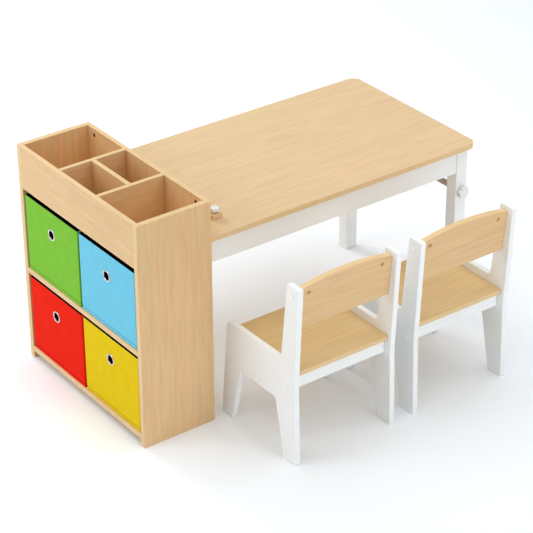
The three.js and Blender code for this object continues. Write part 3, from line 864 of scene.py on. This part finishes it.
class SoftWalls:
    """The slack walls of one bin: its box, and how far the fabric stands out anywhere."""

    def __init__(self, colour, seed):
        draw = random.Random(seed)
        self.low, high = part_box(f"bin_{colour}")
        self.size = high - self.low
        self.middle = (self.low + high) / 2
        self.half_x = self.size.x / 2 - SLACK
        self.half_y = self.size.y / 2 - SLACK
        self.waves = [(draw.uniform(5, 16), draw.uniform(4, 12), draw.uniform(0, math.tau),
                       draw.uniform(0.5, 1.0)) for _ in range(6)]

    def sides(self):
        """Each wall's outward direction, its run, half its width, and how far out it stands."""
        return [
            ((-1, 0), (0, 1), self.half_y, self.half_x),
            ((0, 1), (1, 0), self.half_x, self.half_y),
            ((1, 0), (0, -1), self.half_y, self.half_x),
            ((0, -1), (-1, 0), self.half_x, self.half_y),
        ]

    def bulge(self, offset, half, height):
        """How far the wall stands out, at an offset from its middle: the terms are in mm."""
        across = offset / half
        up = height / self.size.z
        from_side = half - abs(offset)
        pillow = 0.9 * (1 - across ** 2) * math.sin(math.pi * min(1.0, up * 1.05))
        slack = sum(weight * math.sin(a * offset * 6 + b * height * 9 + phase)
                    for a, b, phase, weight in self.waves) * 0.10
        hem = -1.8 * math.exp(-((height - HEM) / (1.5 * MM)) ** 2)
        hem += 0.35 * max(0.0, 1 - abs(height - HEM / 2) / (HEM / 2))
        gather = 0.22 * math.sin(offset / (2.2 * MM) + self.waves[0][2])
        gather *= math.exp(-abs(height - HEM) / (7 * MM))
        seam = -0.8 * math.exp(-((from_side - SIDE_SEAM) / (1.3 * MM)) ** 2)
        return (pillow + slack * (1 - across ** 2) + hem + gather + seam) * MM

    def outline(self):
        """Evenly spaced points round the bin: place, outward direction, and where on its wall."""
        path = []
        for (nx, ny), (tx, ty), half, reach in self.sides():
            straight = half - BIN_CORNER
            count = max(2, round(2 * straight / BIN_SPACING))
            for i in range(count):
                offset = -straight + 2 * straight * i / count
                path.append((nx * reach + tx * offset, ny * reach + ty * offset, nx, ny,
                             offset, half))
            corner_x = nx * (reach - BIN_CORNER) + tx * straight
            corner_y = ny * (reach - BIN_CORNER) + ty * straight
            for i in range(4):
                angle = math.pi / 2 * i / 4
                rx = nx * math.cos(angle) + tx * math.sin(angle)
                ry = ny * math.cos(angle) + ty * math.sin(angle)
                path.append((corner_x + rx * BIN_CORNER, corner_y + ry * BIN_CORNER, rx, ry,
                             straight, half))
        return path


def add_bin(colour, walls):
    """Open fabric bin over card: slack walls, seams, a folded rim and a dark lining."""
    surface = Surface()
    weave = []
    outline = walls.outline()
    top = walls.size.z - RIM
    levels = np.linspace(0, 1, int(walls.size.z / BIN_SPACING) + 1)

    def ring(depth, height, outer=True):
        """One ring of the wall: depth inside the outer face, at a height."""
        points = []
        travelled = 0.0
        for x, y, nx, ny, offset, half in outline:
            reach = walls.bulge(offset, half, height) - depth
            points.append((walls.middle.x + x + nx * reach, walls.middle.y + y + ny * reach,
                           walls.low.z + height))
            weave.append(Vector((travelled, height, 0.0 if outer else 1.0)))
            travelled += BIN_SPACING
        return surface.ring(points)

    def fold(step, steps=6):
        """One ring of the rolled rim, part of the way over."""
        angle = math.pi * step / steps
        return ring(WALL / 2 * (1 - math.cos(angle)), top + RIM * math.sin(angle))

    lift = 0.4 * MM
    foot = [ring(2.5 * MM, 0.2 * lift), ring(0.9 * MM, 0.0)]
    outer = [ring(0.0, max(RIM, v * top)) for v in levels]
    rim = [fold(step) for step in range(1, 6)]
    inner = [ring(WALL, max(WALL, v * top), False) for v in levels[::-1]]
    rings = foot + outer + rim + inner
    turned_in = len(foot) + len(outer)
    for number, (lower, upper) in enumerate(zip(rings, rings[1:])):
        surface.bridge(lower, upper, 0 if number < turned_in else 1)
    floors = ((rings[0], lift, True, 0), (rings[-1], WALL + 0.2 * MM, False, 1))
    for edge, height, flip, slot in floors:
        surface.fan(edge, (walls.middle.x, walls.middle.y, walls.low.z + height), slot, flip)
        weave.append(Vector((0, height, 2.0)))
    made = surface.build(f"bin_{colour}", [fabrics[colour], lining], {"weave": weave})
    made.modifiers.clear()
    cut_finger_hole(made, colour)
    stand_for(made, f"bin_{colour}")


def cut_finger_hole(made, colour):
    """Cuts the hole for the grommet through the bin's front wall."""
    low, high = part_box(f"bin_{colour}_grommet")
    under_flange = 2.6 * MM
    bpy.ops.mesh.primitive_cylinder_add(
        vertices=48, radius=(high.z - low.z) / 2 - under_flange, depth=24 * MM,
        location=(low + high) / 2, rotation=(0, math.pi / 2, 0))
    cutter = bpy.context.active_object
    opening = made.modifiers.new("finger_hole", "BOOLEAN")
    opening.operation = "DIFFERENCE"
    opening.solver = "EXACT"
    opening.object = cutter
    apply_modifiers(made)
    bpy.data.objects.remove(cutter)


def apply_modifiers(made):
    """Replaces the object's mesh by its evaluated one."""
    graph = bpy.context.evaluated_depsgraph_get()
    mesh = bpy.data.meshes.new_from_object(made.evaluated_get(graph))
    made.modifiers.clear()
    made.data = mesh


def add_stitch(surface, centre, along, out):
    """One short stitch: a thread that rises out of the fabric and goes back in."""
    side = along.cross(out)
    rings = []
    for step in range(5):
        t = step / 4
        thick = STITCH_THICKNESS * math.sin(math.pi * (0.12 + 0.76 * t))
        spot = centre + along * STITCH * (t - 0.5) + out * STITCH_RISE * math.sin(math.pi * t)
        rings.append(surface.ring([
            spot + (out * math.cos(a) + side * math.sin(a)) * thick
            for a in [math.tau * k / 6 for k in range(6)]
        ]))
    for lower, upper in zip(rings, rings[1:]):
        surface.bridge(upper, lower)
    for ring, flip in ((rings[0], False), (rings[-1], True)):
        middle = surface.points[ring[0]].lerp(surface.points[ring[3]], 0.5)
        surface.fan(ring, middle, flip=flip)


def add_stitches(colour, walls):
    """Rows of short stitches along the hem and beside the upright seams."""
    surface = Surface()
    pitch = STITCH + STITCH_GAP
    corner_gap = 9 * MM
    seam_start = HEM + 6 * MM
    seam_length = walls.size.z - 24 * MM
    for (nx, ny), (tx, ty), half, reach in walls.sides():
        out = Vector((nx, ny, 0))
        run = Vector((tx, ty, 0))

        def stitch(offset, height, along):
            """A stitch on this wall, at an offset from its middle."""
            proud = reach + walls.bulge(offset, half, height)
            foot = Vector((walls.middle.x, walls.middle.y, walls.low.z + height))
            add_stitch(surface, foot + out * proud + run * offset, along, out)

        along_hem = int(2 * (half - corner_gap) / pitch)
        for i in range(along_hem):
            stitch((i - (along_hem - 1) / 2) * pitch, HEM, run)
        for side in (-1, 1):
            for i in range(int(seam_length / pitch)):
                stitch(side * (half - SIDE_SEAM), seam_start + i * pitch, Vector(Z))
    weave = [Vector((p.y, 1 + p.z, p.x)) for p in surface.points]
    made = surface.build(f"bin_{colour}_stitching", [threads[colour]], {"weave": weave})
    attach(made, f"bin_{colour}")


def add_grommet(colour):
    """Pressed eyelet: a rolled flange on each side of the wall and a flared tube between."""
    node = f"bin_{colour}_grommet"
    low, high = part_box(node)
    centre = (low.x, (low.y + high.y) / 2, (low.z + high.z) / 2)
    depth = high.x - low.x
    radius = (high.z - low.z) / 2
    behind = radius - 0.5 * MM
    hole = radius - EYELET
    collar = hole + 1.2 * MM
    inside = EYELET_LIP + 0.2 * MM
    profile = rounded([
        (collar, inside),
        (radius, inside),
        (radius, 0.75 * EYELET_LIP),
        (radius - 1.3 * MM, 0.0),
        (hole + 1.0 * MM, 0.05 * MM),
        (hole, 1.0 * MM),
        (hole, depth - MM),
        (hole + 1.0 * MM, depth),
        (behind, depth),
        (behind, depth - EYELET_LIP),
        (collar, depth - EYELET_LIP),
        (collar, inside),
    ], 0.5 * MM)
    surface = Surface()
    lathe(surface, profile, centre, X, 64)
    stand_for(surface.build(node, [eyelet_metal]), node)


def add_bins():
    """The four bins, each with its stitching and its grommet."""
    for number, colour in enumerate(COLOURS):
        walls = SoftWalls(colour, 20 + number)
        add_bin(colour, walls)
        add_stitches(colour, walls)
        add_grommet(colour)


# ------------ chairs

def add_chair(name):
    """Two side panels, a seat, a backrest and two rails, with their bolts and cross nuts."""
    for side, outward in (("left", -1), ("right", 1)):
        board(f"{name}_side_{side}", Z, PAINTED, CHAIR_EDGE)
        for place in ("back", "rear", "front"):
            add_chair_bolt(f"{name}_bolt_{place}_{side}", outward)
        add_bevelled(f"{name}_nut_{side}", nut_bronze, 0.5 * MM)
    board(f"{name}_seat", X, SEAT_LAMINATE, SEAT_EDGE)
    board(f"{name}_backrest", X, LAMINATE, SEAT_EDGE)
    for place in ("rear", "front"):
        board(f"{name}_rail_{place}", X, PAINTED, PAINTED_EDGE)


def add_chair_bolt(node, outward):
    """White-enamelled bolt head: a low dome with an eased rim, and the shank's start behind it."""
    low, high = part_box(node)
    radius = (high.z - low.z) / 2
    axis = Vector((outward, 0, 0))
    crown = Vector((low.x if outward < 0 else high.x, (low.y + high.y) / 2, (low.z + high.z) / 2))
    shank = 0.45 * radius
    profile = rounded([
        (shank, -3 * BOLT_HEAD),
        (shank, -BOLT_HEAD),
        (radius, -BOLT_HEAD),
        (radius, -0.5 * BOLT_HEAD),
        (0.84 * radius, -0.2 * BOLT_HEAD),
        (0.5 * radius, -0.05 * BOLT_HEAD),
        (0.1 * radius, 0.0),
    ], 0.5 * MM)
    surface = Surface()
    rings = lathe(surface, profile, crown, axis)
    surface.fan(rings[-1], crown)
    surface.fan(rings[0], crown - axis * 3 * BOLT_HEAD, flip=True)
    stand_for(surface.build(node, [bolt_white]), node)


# ------------ studio

def add_camera():
    """A long lens beyond the cabinet and the chairs, looking down at the set."""
    level_reach = math.cos(CAMERA_ELEVATION)
    look = Vector((math.sin(CAMERA_AZIMUTH) * level_reach, math.cos(CAMERA_AZIMUTH) * level_reach,
                   -math.sin(CAMERA_ELEVATION)))
    level = Vector((math.cos(CAMERA_AZIMUTH), -math.sin(CAMERA_AZIMUTH), 0))
    upright = level.cross(look)
    right = level * math.cos(CAMERA_ROLL) + upright * math.sin(CAMERA_ROLL)
    up = upright * math.cos(CAMERA_ROLL) - level * math.sin(CAMERA_ROLL)
    data = bpy.data.cameras.new("camera")
    data.lens = CAMERA_LENS
    data.sensor_width = CAMERA_SENSOR
    data.clip_end = CAMERA_REACH
    camera = bpy.data.objects.new("camera", data)
    turned = Matrix((right, up, -look)).transposed().to_4x4()
    camera.matrix_world = Matrix.Translation(CAMERA_PLACE) @ turned
    bpy.context.scene.collection.objects.link(camera)
    bpy.context.scene.camera = camera


def add_floor():
    """A plain floor that reaches past the horizon of every view."""
    surface = Surface()
    turns = ((-1, -1), (1, -1), (1, 1), (-1, 1))
    surface.face(surface.ring([(x * FLOOR_REACH, y * FLOOR_REACH, 0) for x, y in turns]))
    floor = surface.build("studio_floor", [floor_material()])
    floor.location.z = -FLOOR_DROP


def add_light(name, place, target, size, power, colour=(1.0, 1.0, 1.0)):
    """A round soft lamp aimed at a target: size is its width in metres, power is in watts."""
    data = bpy.data.lights.new(name, "AREA")
    data.color = colour
    data.shape = "DISK"
    data.size = size
    data.energy = power
    lamp = bpy.data.objects.new(name, data)
    lamp.location = place
    lamp.rotation_mode = "QUATERNION"
    lamp.rotation_quaternion = (Vector(target) - Vector(place)).to_track_quat("-Z", "Y")
    bpy.context.scene.collection.objects.link(lamp)


def add_sky():
    """Even, faintly cool light, brighter from overhead and from the cabinet's side."""
    world = bpy.data.worlds.new("studio")
    world.use_nodes = True
    tree = world.node_tree
    background = tree.nodes["Background"]
    direction = tree.nodes.new("ShaderNodeTexCoord")
    split = tree.nodes.new("ShaderNodeSeparateXYZ")
    tree.links.new(direction.outputs["Generated"], split.inputs[0])

    def ramp(axis, start, end, weakest, strongest):
        """Strength that grows from one height or side of the sky to another."""
        made = tree.nodes.new("ShaderNodeMapRange")
        tree.links.new(split.outputs[axis], made.inputs["Value"])
        made.inputs["From Min"].default_value = start
        made.inputs["From Max"].default_value = end
        made.inputs["To Min"].default_value = weakest
        made.inputs["To Max"].default_value = strongest
        return made.outputs["Result"]

    total = tree.nodes.new("ShaderNodeMath")
    tree.links.new(ramp("Z", 0.3, 1.0, SIDE_LIGHT, SIDE_LIGHT + TOP_LIGHT), total.inputs[0])
    tree.links.new(ramp("X", 0.0, -1.0, 0.0, LEFT_LIGHT), total.inputs[1])
    tree.links.new(total.outputs[0], background.inputs["Strength"])
    background.inputs["Color"].default_value = SKY_COLOUR
    bpy.context.scene.world = world


def add_studio():
    """Sky, four soft lamps and how the picture is developed."""
    view = bpy.context.scene.view_settings
    view.view_transform = "Standard"
    view.gamma = CAMERA_GAMMA
    add_sky()
    add_light("from_left", (-2.3, 0.6, 1.3), (-0.3, 0, 0.3), size=1.6, power=12)
    add_light("from_front", (0.2, -3.6, 1.4), (0, 0, 0.3), size=2.2, power=30.5,
              colour=(0.97, 0.99, 1.0))
    add_light("from_behind", (-0.4, 3.3, 2.4), (0, 0, 0.3), size=2.0, power=50)
    add_light("over_the_right", (0.95, -0.55, 1.8), (0.6, -0.45, 0), size=0.9, power=2.4,
              colour=(1.0, 0.99, 0.975))


# ------------ the whole set

random.seed(7)
add_camera()
add_studio()
add_floor()
add_cabinet()
add_screw_covers()
add_tray_fittings()
add_table()
add_paper_rod()
add_paper_clamp()
add_bins()
for chair in ("chair_1", "chair_2"):
    add_chair(chair)
